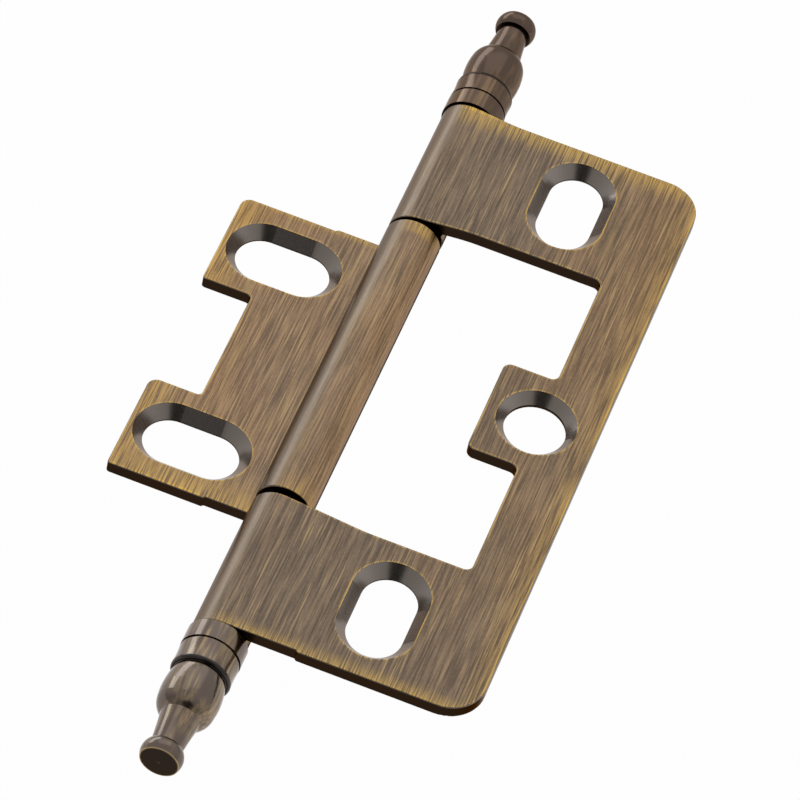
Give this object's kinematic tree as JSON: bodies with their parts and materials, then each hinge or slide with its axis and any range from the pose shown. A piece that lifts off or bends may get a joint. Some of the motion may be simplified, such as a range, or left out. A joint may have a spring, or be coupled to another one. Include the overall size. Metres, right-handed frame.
{
  "type": "non-mortise hinge",
  "caption": "Non-mortise butt hinge, opened flat: windowed frame leaf, smaller notched door leaf, rolled barrel on a pin with turned finials, countersunk slots and a round screw hole.",
  "frame": {"origin": "on the back of the frame leaf, the face that lies against the frame, midway between its two slotted screw holes; the pin axis runs parallel to Y at x -14 mm, z -1.5 mm", "axes": "+Z out of the faces with the countersinks, +Y along the pin towards the upper finial, +X from the pin across the frame leaf; stored open flat, as in the picture"},
  "size_m": [0.0449, 0.1095, 0.0064],
  "materials": {
    "frame_leaf_metal": "antique brass plating over steel, finely brushed along the pin, rubbed bright at the edges, lacquered",
    "door_leaf_metal": "antique brass plating over steel, finely brushed along the pin, rubbed bright at the edges, lacquered",
    "pin_metal": "plated steel rod, dark",
    "finial_metal": "turned brass, antiqued brown, smooth and lacquered"
  },
  "bodies": {
    "frame_side": {"frame_leaf": "frame_leaf_metal", "hinge_pin": "pin_metal", "upper_finial": "finial_metal", "lower_finial": "finial_metal"},
    "door_side": {"door_leaf": "door_leaf_metal"}
  },
  "joints": [
    {"name": "pin_hinge", "type": "hinge", "parent": "frame_side", "child": "door_side", "pos_m": [-0.014, 0, -0.0015], "axis": [0, 1, 0], "range_deg": [0, 180]}
  ]
}
